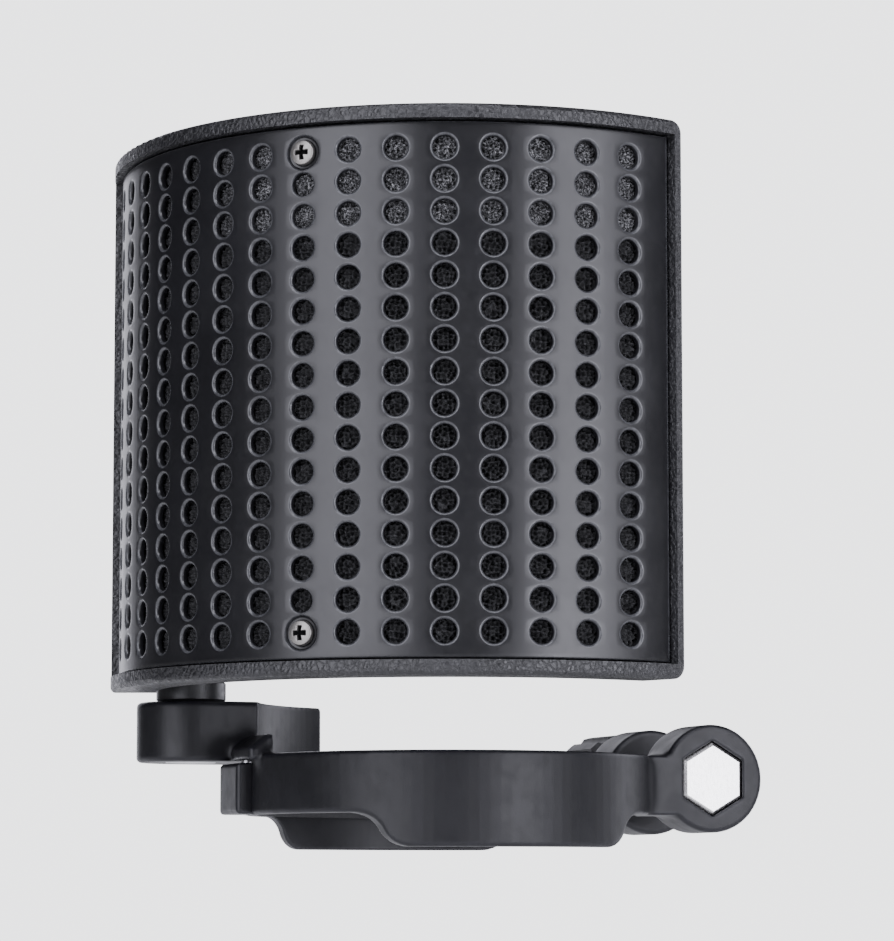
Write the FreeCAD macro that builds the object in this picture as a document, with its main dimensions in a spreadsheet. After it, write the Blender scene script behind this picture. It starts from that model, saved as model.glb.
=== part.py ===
import FreeCAD, Part
import math
import os
import re
import Sketcher
from FreeCAD import Placement, Rotation, Vector

# Curved pop filter for a desk microphone.  A two-part clamp ring grips the microphone's
# body, and a perforated half-round shield swings on a pivot at the end of the clamp's arm.
# Origin: centre of the clamp's bore.  +Z: along the microphone, up.  -Y: the talker's side.
# A bearing is the angle from -Y towards -X, seen from above.  Millimetres and degrees.

os.makedirs("parts", exist_ok=True)
doc = FreeCAD.newDocument("pop_filter")
sheet = doc.addObject("Spreadsheet::Sheet", "Dimensions")

dimensions = {
    # clamp ring
    "bore_radius": 29.0,
    "rear_liner_bearing": 68.0,
    "liner_split_bearing": 45.6,
    "liner_end_angle": 14.0,
    "liner_outer": 30.1,
    "liner_half_height": 4.6,
    "band_inner": 30.2,
    "band_outer": 32.4,
    "band_half_height": 4.7,
    "grip_bearing": -45.0,
    "grip_depth": 9.9,
    "grip_half_flat": 16.0,
    "grip_run": 7.5,
    "cut_overlap": 3.0,
    "split_bearing": 46.2,
    "split_gap": 1.0,
    "ear_bearing": -135.0,
    "band_end_angle": 13.0,
    # ears and clamp bolt
    "ear_reach": 39.2,
    "ear_rise": 1.2,
    "ear_radius": 8.6,
    "ear_near": 7.2,
    "ear_far": 16.2,
    "bolt_radius": 3.0,
    "bolt_hole_radius": 3.05,
    "bolt_slack_radius": 3.7,
    "bolt_head_flats": 10.0,
    "bolt_head_height": 4.0,
    "bolt_pocket_flats": 10.4,
    "bolt_end": 27.0,
    "clamp_washer_radius": 6.2,
    "clamp_washer_bottom": 16.55,
    "clamp_washer_top": 17.85,
    "clamp_knob_bottom": 18.0,
    "clamp_knob_top": 31.5,
    "clamp_knob_radius": 8.3,
    "clamp_insert_radius": 4.2,
    "clamp_insert_height": 8.0,
    # hinge at the left end of the ring
    "hinge_block_face": 34.7,
    "hinge_block_width": 10.6,
    "hinge_block_top": 3.4,
    "relief_first_bearing": 36.2,
    "relief_last_bearing": 116.5,
    "hinge_gap": 0.5,
    "hinge_pin_radius": 1.0,
    "hinge_pin_bore": 1.05,
    "hinge_pin_out": 31.6,
    "hinge_pin_along": 5.2,
    "hinge_pin_top": 6.0,
    # arm
    "arm_bottom": 3.9,
    "arm_top": 13.5,
    "arm_root_bearing": 66.0,
    "arm_root_outer": 34.4,
    "arm_back_bearing": 112.0,
    "arm_end_left": 39.8,
    "arm_end_front": 12.2,
    "arm_end_radius": 8.7,
    "arm_heading": 43.0,
    "arm_tongue": 18.0,
    "foot_first_bearing": 39.0,
    "foot_last_bearing": 70.0,
    "foot_outer": 34.2,
    "foot_shoulder": 5.6,
    "foot_top": 7.8,
    "foot_top_outer": 31.3,
    "foot_edge": 0.9,
    # pivot at the arm's end
    "pivot_radius": 2.5,
    "pivot_bore": 2.55,
    "pivot_head_flats": 8.0,
    "pivot_head_height": 3.6,
    "pivot_bolt_top": 31.5,
    "spacer_bottom": 13.6,
    "spacer_radius": 5.6,
    "spacer_top": 17.0,
    "lug_bottom": 17.1,
    "lug_top": 21.1,
    "lug_radius": 6.0,
    "lug_bush_radius": 3.6,
    "pivot_washer_bottom": 21.2,
    "pivot_washer_top": 22.2,
    "pivot_knob_bottom": 22.3,
    "pivot_knob_top": 33.3,
    "pivot_knob_radius": 6.4,
    "pivot_insert_radius": 3.5,
    "pivot_insert_height": 6.0,
    # shield
    "frame_inner": 46.4,
    "frame_ledge": 47.6,
    "frame_outer": 53.6,
    "frame_half_arc": 66.0,
    "window_half_arc": 64.2,
    "ledge_half_arc": 62.2,
    "shield_bottom": 14.8,
    "shield_top": 99.3,
    "rail_height": 2.25,
    "ledge_height": 4.4,
    "layer_gap": 0.3,
    "rear_grille_inner": 47.65,
    "rear_grille_outer": 48.4,
    "mesh_inner": 48.5,
    "mesh_outer": 48.8,
    "foam_inner": 48.9,
    "foam_outer": 51.1,
    "front_grille_inner": 51.2,
    "front_grille_outer": 52.3,
    "layer_half_arc": 63.85,
    # perforation
    "hole_radius": 1.75,
    "hole_columns": 15,
    "hole_rows": 16,
    "column_angle": 7.97,
    "row_pitch": 4.78,
    # grille screws and their bosses
    "screw_head_radius": 1.9,
    "screw_head_height": 1.25,
    "screw_radius": 1.2,
    "screw_length": 5.2,
    "screw_recess_width": 0.75,
    "screw_recess_reach": 1.1,
    "screw_recess_depth": 0.9,
    "counterbore_radius": 2.8,
    "counterbore_floor": 51.75,
    "boss_radius": 2.6,
    "boss_hole": 2.75,
    "tab_half_arc": 4.2,
    "tab_height": 7.4,
    "lug_bridge": 6.0,
    "lug_root": 9.0,
    "lug_root_start": 0.6,
    "lug_root_shift": 2.4,
    "boss_start": 0.4,
    # thumb nuts
    "knob_flute": 1.1,
    "knob_flutes": 14,
    "knob_wall": 1.4,
    "knob_collar_step": 1.6,
    "knob_collar_height": 1.2,
    "knob_grip_start": 2.0,
    "knob_bevel": 1.0,
    # edge rounding
    "clamp_edge": 0.6,
    "ear_edge": 0.7,
    "arm_edge": 0.7,
    "arm_blend": 3.0,
    "frame_corner": 2.0,
    "frame_edge": 0.7,
}
for row, (alias, number) in enumerate(dimensions.items(), start=1):
    sheet.set("A%d" % row, alias)
    sheet.set("B%d" % row, str(number))
    sheet.setAlias("B%d" % row, alias)
doc.recompute()

HEX_CORNER = 1.0 / math.sqrt(3.0)
UP = Vector(0, 0, 1)
ORIGIN = Vector(0, 0, 0)
ORIGIN_TURN = Rotation()
nodes = {}
FULL_TURN = 360.0
HALF_TURN = 180.0
TOUCH = 0.05


# ---------------------------------------------------------------- helpers

def label(piece, name):
    """Makes a piece a node of its own."""
    piece.Label = name
    nodes[name] = piece
    return piece


def size(alias):
    """A dimension, read from the sheet."""
    return float(sheet.get(alias))


def linked(formula):
    """A formula whose words are cells, written the way expressions name them."""
    return re.sub(r"[a-z_]{3,}", lambda word: "Dimensions." + word.group(), str(formula))


def bind(thing, **formulas):
    for name, formula in formulas.items():
        thing.setExpression(name, linked(formula))


def towards(bearing):
    """Rotation that carries the -Y direction to a bearing."""
    return Rotation(UP, -bearing)


def cylinder(name, radius, height, place=None):
    piece = doc.addObject("Part::Cylinder", name)
    bind(piece, Radius=radius, Height=height)
    piece.Placement = place or Placement()
    return piece


def box(name, length, width, height, place):
    piece = doc.addObject("Part::Box", name)
    bind(piece, Length=length, Width=width, Height=height)
    piece.Placement = place
    return piece


def joined(name, *pieces):
    result = doc.addObject("Part::MultiFuse", name)
    result.Shapes = list(pieces)
    result.Refine = True
    return result


def cut(name, base, tool):
    result = doc.addObject("Part::Cut", name)
    result.Base = base
    result.Tool = tool
    result.Refine = True
    return result


def sector(name, inner, outer, bottom, top, first, last):
    """Part of a tube about Z, between two bearings in degrees."""
    wedge = cylinder(name + "_wedge", outer, "%s - (%s)" % (top, bottom))
    wedge.Angle = last - first
    wedge.Placement = Placement(ORIGIN, Rotation(UP, -90.0 - last))
    bind(wedge, **{"Placement.Base.z": bottom})
    core = cylinder(name + "_core", inner, "%s - (%s) + 2" % (top, bottom))
    bind(core, **{"Placement.Base.z": "%s - 1" % bottom})
    return cut(name, wedge, core)


def rounded(name, base, radius, chosen):
    """Fillet of the edges that a test accepts."""
    doc.recompute()
    result = doc.addObject("Part::Fillet", name)
    result.Base = base
    edges = [i for i, edge in enumerate(base.Shape.Edges, start=1) if chosen(edge)]
    result.Edges = [(i, size(radius), size(radius)) for i in edges]
    return result


def origin_plane(body, role):
    return next(item for item in body.Origin.OriginFeatures if item.Role == role)


def sketch_on(body, name, role):
    sketch = body.newObject("Sketcher::SketchObject", name)
    sketch.AttachmentSupport = [(origin_plane(body, role), "")]
    sketch.MapMode = "FlatFace"
    return sketch


def dimension(sketch, kind, geometry, point, formula):
    """One coordinate of a sketch point, bound to the sheet."""
    if str(formula) == "0":
        axis = -2 if kind == "DistanceX" else -1
        sketch.addConstraint(Sketcher.Constraint("PointOnObject", geometry, point, axis))
        return
    index = sketch.addConstraint(Sketcher.Constraint(kind, -1, 1, geometry, point, worked(formula)))
    sketch.setExpression("Constraints[%d]" % index, linked(formula))


def worked(formula):
    """Value of a formula of cells, worked out by the document's own expressions."""
    gauge.setExpression("Reading", linked(formula))
    doc.recompute([gauge])
    return gauge.Reading


def outline(sketch, corners):
    """Closed straight-sided outline, each corner bound to the sheet."""
    points = [Vector(worked(across), worked(along), 0) for across, along in corners]
    count = len(points)
    first = sketch.GeometryCount
    for i in range(count):
        sketch.addGeometry(Part.LineSegment(points[i], points[(i + 1) % count]), False)
    for i in range(count):
        after = first + (i + 1) % count
        sketch.addConstraint(Sketcher.Constraint("Coincident", first + i, 2, after, 1))
    for i, (across, along) in enumerate(corners):
        dimension(sketch, "DistanceX", first + i, 1, across)
        dimension(sketch, "DistanceY", first + i, 1, along)


def circle(sketch, across, along, radius):
    centre = Vector(worked(across), worked(along), 0)
    index = sketch.addGeometry(Part.Circle(centre, UP, worked(radius)), False)
    limit = sketch.addConstraint(Sketcher.Constraint("Radius", index, worked(radius)))
    sketch.setExpression("Constraints[%d]" % limit, linked(radius))
    dimension(sketch, "DistanceX", index, 3, across)
    dimension(sketch, "DistanceY", index, 3, along)


def turned(name, corners):
    """Body turned about its own Z from a half section of (radius, height) corners."""
    body = doc.addObject("PartDesign::Body", name)
    section = sketch_on(body, name + "_section", "XZ_Plane")
    outline(section, corners)
    turning = body.newObject("PartDesign::Revolution", name + "_turning")
    turning.Profile = section
    turning.ReferenceAxis = (section, ["V_Axis"])
    turning.Angle = FULL_TURN
    return label(body, name)


def hexagon(flats):
    """Corners of a hexagon with this distance across its flats."""
    corner = "%s * %.6f" % (flats, HEX_CORNER)
    half_side = "%s * %.6f / 2" % (flats, HEX_CORNER)
    half_flats = flats + " / 2"
    return [(corner, "0"), (half_side, half_flats), ("-" + half_side, half_flats),
            ("-" + corner, "0"), ("-" + half_side, "-" + half_flats), (half_side, "-" + half_flats)]


def padded(body, name, height, draw, *details):
    sketch = sketch_on(body, name + "_sketch", "XY_Plane")
    draw(sketch, *details)
    pad = body.newObject("PartDesign::Pad", name)
    pad.Profile = sketch
    bind(pad, Length=height)
    return pad


def pocketed(body, name, sketch, depth, reverse):
    """Pocket that must take material away."""
    doc.recompute()
    before = body.Shape.Volume
    pocket = body.newObject("PartDesign::Pocket", name)
    pocket.Profile = sketch
    pocket.Reversed = reverse
    if depth is None:
        pocket.Type = "ThroughAll"
    else:
        bind(pocket, Length=depth)
    doc.recompute()
    if pocket.Shape.Volume > before - 1e-3:
        raise RuntimeError(name + " cuts nothing")
    return pocket


def around(body, name, feature, count, span=360.0):
    pattern = body.newObject("PartDesign::PolarPattern", name)
    pattern.Originals = [feature]
    pattern.Axis = (origin_axis(body), [""])
    pattern.Angle = span
    pattern.Occurrences = count
    body.Tip = pattern
    return pattern


def origin_axis(body):
    return origin_plane(body, "Z_Axis")


gauge = doc.addObject("App::FeaturePython", "gauge")
gauge.addProperty("App::PropertyFloat", "Reading")


# ---------------------------------------------------------------- clamp ring

def sideways(bearing, start, reach, height=0.0):
    """Placement whose X runs sideways at a bearing, starting this far along it."""
    turn = towards(bearing)
    return Placement(turn.multVec(Vector(start, -reach, height)), turn)


def on_bolt(start):
    """Placement on the clamp bolt's axis, with +Z along it, starting this far from its middle."""
    turn = towards(size("ear_bearing"))
    return Placement(turn.multVec(Vector(start, -size("ear_reach"), size("ear_rise"))),
                     turn * Rotation(Vector(0, 1, 0), 90))


def grip_cutter(name, bearing):
    """Takes away the band's lower edge on both sides of the deep grip tab."""
    run = size("grip_run")
    drop = size("grip_depth") - size("band_half_height")
    turn = 2 * math.atan2(drop, run)
    bend = run / (2 * math.sin(turn))
    low = -size("grip_depth")
    near = size("grip_half_flat")
    reach = size("band_outer") + 4
    overlap = size("cut_overlap")
    solids = []
    for side in (1, -1):
        def at(x, z):
            return Vector(side * x, 0, z)
        rise = [at(near, low),
                at(near + bend * math.sin(turn / 2), low + bend * (1 - math.cos(turn / 2))),
                at(near + run / 2, low + drop / 2),
                at(near + run - bend * math.sin(turn / 2),
                   low + drop - bend * (1 - math.cos(turn / 2))),
                at(near + run, low + drop)]
        edges = [Part.Arc(*rise[0:3]).toShape(), Part.Arc(*rise[2:5]).toShape()]
        corners = [rise[4], at(reach, low + drop), at(reach, low - 2), at(near, low - 2), rise[0]]
        edges += [Part.makeLine(a, b) for a, b in zip(corners, corners[1:])]
        profile = Part.Face(Part.Wire(edges))
        profile.translate(Vector(0, overlap, 0))
        solids.append(profile.extrude(Vector(0, -reach - overlap, 0)))
    cutter = doc.addObject("Part::Feature", name)
    cutter.Shape = Part.makeCompound(solids)
    cutter.Placement = Placement(ORIGIN, towards(bearing))
    return cutter


def hex_bar(name, flats, height, place):
    bar = doc.addObject("Part::Prism", name)
    bar.Polygon = 6
    bind(bar, Circumradius="%s * %.6f" % (flats, HEX_CORNER), Height=height)
    bar.Placement = place
    return bar


def reach_of(edge):
    """Distance of an edge's middle from the bore's axis."""
    middle = edge.valueAt((edge.FirstParameter + edge.LastParameter) / 2)
    return math.hypot(middle.x, middle.y)


def bearing_of(edge):
    """Bearing of an edge's middle."""
    middle = edge.valueAt((edge.FirstParameter + edge.LastParameter) / 2)
    return math.degrees(math.atan2(-middle.x, -middle.y))


def is_outside(edge):
    """True for an edge that is not on the bore's wall nor on the arm's underside."""
    return reach_of(edge) > size("band_inner") + 0.1 and edge.BoundBox.ZMax > size("arm_bottom") + TOUCH


def is_level(edge):
    return edge.BoundBox.ZLength < 0.01


def is_upright(edge):
    return edge.BoundBox.ZLength > edge.Length * 0.999


def ear(name, start):
    """One clamping ear and its web to the band, from this far along the bolt."""
    bearing = size("ear_bearing")
    disc = cylinder(name + "_disc", "ear_radius", "ear_far - ear_near",
                    on_bolt(start))
    rim = rounded(name + "_rim", disc, "ear_edge", lambda edge: edge.Closed)
    web = box(name + "_web", "ear_far - ear_near", "ear_reach - band_inner + 5",
              "2 * band_half_height",
              sideways(bearing, start, size("ear_reach"), -size("band_half_height")))
    return [rim, web]


def gripping_band(name, bearing, first, last):
    """Half of the ring, with its deep grip tab at this bearing and rounded outer edges."""
    strip = sector(name, "band_inner", "band_outer", "-grip_depth", "band_half_height", first, last)
    shaped = cut(name + "_tabbed", strip, grip_cutter(name + "_grip_cutter", bearing))
    return rounded(name + "_edges", shaped, "clamp_edge",
                   lambda edge: abs(reach_of(edge) - size("band_outer")) < TOUCH and not is_upright(edge))


def arm():
    """Arm that passes over the hinge and ends in the pivot's eye."""
    eye = Vector(-size("arm_end_left"), -size("arm_end_front"), size("arm_bottom"))
    turn = Rotation(UP, size("arm_heading"))
    root = sector("arm_root", "band_inner", "arm_root_outer", "arm_bottom", "arm_top",
                  size("arm_root_bearing"), size("arm_back_bearing"))
    end = cylinder("arm_end", "arm_end_radius", "arm_top - arm_bottom", Placement(eye, ORIGIN_TURN))
    tongue = box("arm_tongue", "arm_tongue", "2 * arm_end_radius", "arm_top - arm_bottom",
                 Placement(eye + turn.multVec(Vector(0, -size("arm_end_radius"), 0)), turn))
    bore = cylinder("arm_bore", "band_inner", "2 * arm_top", Placement())
    plate = cut("arm_plate", joined("arm_blank", root, end, tongue), bore)
    blended = rounded("arm_blends", plate, "arm_blend",
                      lambda edge: is_upright(edge) and abs(reach_of(edge) - size("arm_root_outer")) < 0.2
                      and len(neighbours(plate.Shape, edge)) == 2 and is_hollow(plate.Shape, edge))
    return rounded("arm_edges", blended, "arm_edge",
                   lambda edge: is_level(edge) and reach_of(edge) > size("band_inner") + 0.3)


def arm_foot():
    """Low step with a sloping top that ties the arm to the band and holds the hinge pin."""
    first = size("foot_first_bearing")
    last = size("foot_last_bearing")
    turn = Rotation(UP, -90.0 - last)
    step = cylinder("foot_step", "foot_outer", "foot_shoulder - arm_bottom")
    step.Angle = last - first
    step.Placement = Placement(UP * size("arm_bottom"), turn)
    slope = doc.addObject("Part::Cone", "foot_slope")
    bind(slope, Radius1="foot_outer", Radius2="foot_top_outer", Height="foot_top - foot_shoulder")
    slope.Angle = last - first
    slope.Placement = Placement(UP * size("foot_shoulder"), turn)
    core = cylinder("foot_core", "band_inner", "2 * foot_top")
    foot = cut("foot_blank", joined("foot_wedge", step, slope), core)
    return rounded("foot_edges", foot, "foot_edge",
                   lambda edge: bearing_of(edge) < first + 1 and is_outside(edge))


def neighbours(shape, edge):
    return shape.ancestorsOfType(edge, Part.Face)


def is_hollow(shape, edge):
    """True where two faces meet in an inside corner."""
    middle = edge.valueAt((edge.FirstParameter + edge.LastParameter) / 2)
    along = edge.tangentAt((edge.FirstParameter + edge.LastParameter) / 2)
    first, second = neighbours(shape, edge)
    out = first.normalAt(*first.Surface.parameter(middle))
    side = along.cross(out).normalize()
    probes = [middle + side * step + out * 0.01 for step in (0.05, -0.05)]
    return any(shape.isInside(probe, 1e-6, False) for probe in probes)


def clamp_front_half():
    bearing = size("ear_bearing")
    eye = Vector(-size("arm_end_left"), -size("arm_end_front"), size("arm_bottom"))
    band = gripping_band("front_band", size("grip_bearing"), bearing + size("band_end_angle"),
                         size("split_bearing"))
    blank = joined("front_blank", band, arm(), arm_foot(), *ear("front_ear", -size("ear_far")))
    bore = cylinder("front_bore", "band_inner", "2 * arm_top + 4",
                    Placement(Vector(0, 0, -size("arm_top") - 2), ORIGIN_TURN))
    bolt_hole = cylinder("front_bolt_hole", "bolt_radius", "ear_far",
                         on_bolt(-size("ear_far") - 1))
    bolt_pocket = hex_bar("bolt_pocket", "bolt_pocket_flats", "bolt_head_height + 1",
                          on_bolt(-size("ear_far") - 1))
    pin_hole = cylinder("arm_pin_hole", "hinge_pin_radius", "hinge_pin_top",
                        sideways(size("split_bearing"), -size("hinge_pin_along"), size("hinge_pin_out")))
    pivot_hole = cylinder("arm_pivot_hole", "pivot_radius", "arm_top", Placement(eye, ORIGIN_TURN))
    pivot_pocket = hex_bar("pivot_pocket", "pivot_head_flats", "pivot_head_height + 1",
                           Placement(eye - UP, ORIGIN_TURN))
    tools = joined("front_tools", bore, bolt_hole, bolt_pocket, pin_hole, pivot_hole, pivot_pocket)
    shaped = cut("front_shaped", blank, tools)
    return label(shaped, "clamp_front_half")


def under_arm(name):
    """Space above the hinge block's level that the rear half leaves free for the arm."""
    return sector(name, "bore_radius - 1", "band_outer + 4", "hinge_block_top", "band_half_height + 1",
                  size("relief_first_bearing"), size("relief_last_bearing"))


def clamp_rear_half():
    bearing = size("ear_bearing")
    split = size("split_bearing")
    finish = FULL_TURN + bearing - size("band_end_angle")
    band = gripping_band("rear_band", size("grip_bearing") + HALF_TURN, split + size("split_gap"), finish)
    lowered = cut("rear_lowered", band, under_arm("band_relief"))
    block = box("hinge_block", "hinge_block_width - hinge_gap", "hinge_block_face - band_inner + 4",
                "hinge_block_top + liner_half_height",
                sideways(split, -size("hinge_block_width"), size("hinge_block_face"),
                       -size("liner_half_height")))
    block_edges = rounded("hinge_block_edges", block, "arm_edge",
                          lambda edge: reach_of(edge) > size("band_outer") + 1)
    blank = joined("rear_blank", lowered, block_edges, *ear("rear_ear", size("ear_near")))
    bore = cylinder("rear_bore", "band_inner", "2 * arm_top",
                    Placement(Vector(0, 0, -size("arm_top")), ORIGIN_TURN))
    bolt_hole = cylinder("rear_bolt_hole", "bolt_slack_radius", "ear_far",
                         on_bolt(0))
    pin_hole = cylinder("block_pin_hole", "hinge_pin_bore", "2 * hinge_pin_top",
                        sideways(split, -size("hinge_pin_along"), size("hinge_pin_out"),
                               -size("hinge_pin_top")))
    tools = joined("rear_tools", bore, bolt_hole, pin_hole)
    return label(cut("rear_shaped", blank, tools), "clamp_rear_half")


def band_liner(name, first, last):
    return sector(name + "_strip", "bore_radius", "liner_outer", "-liner_half_height", "liner_half_height",
                  first, last)


def liners():
    end = size("ear_bearing") + size("liner_end_angle")
    label(band_liner("front_liner", end, size("liner_split_bearing")), "front_liner")
    rear = band_liner("rear_liner", size("rear_liner_bearing"),
                      FULL_TURN + size("ear_bearing") - size("liner_end_angle"))
    label(cut("rear_liner_shaped", rear, under_arm("liner_relief")), "rear_liner")


def clamp_fittings():
    split = size("split_bearing")
    pin = turned("hinge_pin", [("0", "-liner_half_height"),
                               ("hinge_pin_radius", "-liner_half_height"),
                               ("hinge_pin_radius", "hinge_pin_top"), ("0", "hinge_pin_top")])
    pin.Placement = sideways(split, -size("hinge_pin_along"), size("hinge_pin_out"))

    bolt = doc.addObject("PartDesign::Body", "clamp_bolt")
    padded(bolt, "bolt_head", "bolt_head_height", outline, hexagon("bolt_head_flats"))
    padded(bolt, "bolt_shank", "bolt_end + ear_far", circle, "0", "0", "bolt_radius")
    doc.recompute()
    shank = bolt.Tip
    crown = bolt.newObject("PartDesign::Chamfer", "bolt_crown")
    crown.Base = (shank, edge_names(shank.Shape, lambda edge: edge.BoundBox.ZMax < 0.01))
    bind(crown, Size="bolt_head_height * 0.12")
    bolt.Placement = on_bolt(-size("ear_far"))
    label(bolt, "clamp_bolt")

    washer = turned("clamp_washer", ring_section("bolt_hole_radius", "clamp_washer_radius",
                                                 "clamp_washer_bottom", "clamp_washer_top", 0.25))
    washer.Placement = on_bolt(0)
    knob("clamp_knob", "clamp_knob_radius", "clamp_knob_bottom", "clamp_knob_top", "clamp_insert_radius",
         "clamp_insert_height", "bolt_radius + 0.3", on_bolt(0))
    insert("clamp_knob_insert", "clamp_insert_radius", "bolt_hole_radius", "clamp_knob_bottom",
           "clamp_insert_height", on_bolt(0))


def ring_section(inner, outer, bottom, top, edge):
    """Half section of a washer with chamfered outer edges."""
    return [(inner, bottom), ("%s - %g" % (outer, edge), bottom), (outer, "%s + %g" % (bottom, edge)),
            (outer, "%s - %g" % (top, edge)), ("%s - %g" % (outer, edge), top), (inner, top)]


def edge_names(shape, chosen):
    return ["Edge%d" % i for i, edge in enumerate(shape.Edges, start=1) if chosen(edge)]


def knob(name, radius, bottom, top, insert_radius, insert_height, well_radius, place):
    """Closed thumb nut with a fluted grip, a pocket for its insert and a well for the bolt's end."""
    end = top + " - knob_wall"
    collar = radius + " - knob_collar_step"
    seat = "%s + %s" % (bottom, insert_height)
    body = turned(name, [(insert_radius, bottom), (collar, bottom),
                         (collar, bottom + " + knob_collar_height"),
                         (radius, bottom + " + knob_grip_start"), (radius, top + " - knob_bevel"),
                         (radius + " - knob_bevel", top), ("0", top), ("0", end), (well_radius, end),
                         (well_radius, seat), (insert_radius, seat)])
    doc.recompute()
    flute = sketch_on(body, name + "_flute_sketch", "XY_Plane")
    circle(flute, "%s + knob_flute * 0.45" % radius, "0", "knob_flute")
    flute.AttachmentOffset = Placement(UP * (size(bottom) + size("knob_collar_height")), ORIGIN_TURN)
    groove = pocketed(body, name + "_flute", flute, "%s - %s" % (top, bottom), True)
    around(body, name + "_flutes", groove, int(size("knob_flutes")))
    body.Placement = place
    return body


def insert(name, radius, bore, bottom, height, place):
    piece = turned(name, [(bore, bottom), (radius, bottom), (radius, "%s + %s" % (bottom, height)),
                          (bore, "%s + %s" % (bottom, height))])
    piece.Placement = place
    return piece


# ---------------------------------------------------------------- pivot at the arm's end

def pivot_fittings():
    foot = Placement(Vector(-size("arm_end_left"), -size("arm_end_front"), 0), ORIGIN_TURN)
    bolt = doc.addObject("PartDesign::Body", "pivot_bolt")
    padded(bolt, "pivot_head", "pivot_head_height", outline, hexagon("pivot_head_flats"))
    padded(bolt, "pivot_shank", "pivot_bolt_top - arm_bottom", circle, "0", "0", "pivot_radius")
    bolt.Placement = Placement(foot.Base + UP * size("arm_bottom"), ORIGIN_TURN)
    label(bolt, "pivot_bolt")
    spacer = turned("pivot_spacer", ring_section("pivot_radius", "spacer_radius", "spacer_bottom",
                                                 "spacer_top", 0.4))
    bush = turned("lug_bush", [("pivot_bore", "lug_bottom"), ("lug_bush_radius", "lug_bottom"),
                               ("lug_bush_radius", "lug_top"), ("pivot_bore", "lug_top")])
    washer = turned("pivot_washer", ring_section("pivot_bore", "lug_radius - 0.4", "pivot_washer_bottom",
                                                 "pivot_washer_top", 0.2))
    for piece in (spacer, bush, washer):
        piece.Placement = foot
    knob("pivot_knob", "pivot_knob_radius", "pivot_knob_bottom", "pivot_knob_top", "pivot_insert_radius",
         "pivot_insert_height", "pivot_radius + 0.3", foot)
    insert("pivot_knob_insert", "pivot_insert_radius", "pivot_bore", "pivot_knob_bottom",
           "pivot_insert_height", foot)


# ---------------------------------------------------------------- shield

def screw_height(end):
    """Height of the upper (+1) or lower (-1) grille screw."""
    middle = (size("shield_bottom") + size("shield_top")) / 2
    return middle + end * size("row_pitch") * (size("hole_rows") - 1) / 2


def facing_front(height, reach):
    """Placement whose Z points out of the shield's middle, towards -Y."""
    return Placement(Vector(0, -reach, height), Rotation(Vector(1, 0, 0), 90))


def shield_frame():
    half = size("frame_half_arc")
    window = size("window_half_arc")
    ledge = size("ledge_half_arc")
    tab = size("tab_half_arc")
    wall = size("frame_outer") - size("frame_inner")
    blank = sector("frame_blank", "frame_inner", "frame_outer", "shield_bottom", "shield_top", -half, half)
    cornered = rounded("frame_corners", blank, "frame_corner",
                       lambda edge: is_level(edge) and edge.Length < wall + TOUCH)
    rim = rounded("frame_rim", cornered, "frame_edge",
                  lambda edge: abs(reach_of(edge) - size("frame_outer")) < TOUCH)
    seat = sector("frame_seat", "frame_ledge", "frame_outer + 3", "shield_bottom + rail_height",
                  "shield_top - rail_height", -window, window)
    back = sector("frame_back", "frame_inner - 3", "frame_outer", "shield_bottom + ledge_height",
                  "shield_top - ledge_height", -ledge, ledge)
    opened = cut("frame_opened", cut("frame_seated", rim, seat), back)
    upper_tab = sector("upper_tab", "frame_inner", "frame_ledge", "shield_top - rail_height - tab_height",
                       "shield_top - rail_height", -tab, tab)
    lower_tab = sector("lower_tab", "frame_inner", "frame_ledge", "shield_bottom + rail_height",
                       "shield_bottom + rail_height + tab_height", -tab, tab)
    bosses = [cylinder("boss", "boss_radius", "foam_outer - frame_inner - boss_start",
                       facing_front(screw_height(end), size("frame_inner") + size("boss_start")))
              for end in (1, -1)]
    turn = towards(half)
    eye = Vector(-size("arm_end_left"), -size("arm_end_front"), size("lug_bottom"))
    inward = turn.inverted().multVec(eye)
    eye_disc = cylinder("lug_eye", "lug_radius", "lug_top - lug_bottom", Placement(eye, ORIGIN_TURN))
    bridge = box("lug_bridge", "lug_bridge", "2 * lug_radius", "lug_top - lug_bottom",
                 Placement(turn.multVec(Vector(inward.x, inward.y - size("lug_radius"), inward.z)), turn))
    root = box("lug_root", "lug_root", "2 * lug_radius", "lug_top - lug_bottom",
               Placement(turn.multVec(Vector(size("lug_root_start"), inward.y - size("lug_radius")
                                             - size("lug_root_shift"), inward.z)), turn))
    lug = cut("lug", joined("lug_blank", eye_disc, bridge, root), seat)
    solid = joined("frame_solid", opened, upper_tab, lower_tab, *bosses, lug)
    pilots = [cylinder("pilot", "screw_radius", "frame_outer", facing_front(screw_height(end), 0))
              for end in (1, -1)]
    eye_hole = cylinder("lug_hole", "lug_bush_radius", "lug_top",
                        Placement(eye - UP * size("arm_bottom"), ORIGIN_TURN))
    drilled = cut("frame_drilled", solid, joined("frame_drills", eye_hole, *pilots))
    return label(drilled, "shield_frame")


def curved_layer(name, inner, outer):
    """Curved sheet that fills the window, drawn with its middle towards +X, then turned."""
    body = doc.addObject("PartDesign::Body", name)
    section = sketch_on(body, name + "_section", "XZ_Plane")
    low = "shield_bottom + rail_height + layer_gap"
    high = "shield_top - rail_height - layer_gap"
    outline(section, [(inner, low), (outer, low), (outer, high), (inner, high)])
    sheet_turning = body.newObject("PartDesign::Revolution", name + "_sheet")
    sheet_turning.Profile = section
    sheet_turning.ReferenceAxis = (section, ["V_Axis"])
    sheet_turning.Midplane = True
    bind(sheet_turning, Angle="2 * layer_half_arc")
    body.Placement = Placement(ORIGIN, Rotation(UP, -90))
    return label(body, name)


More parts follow.
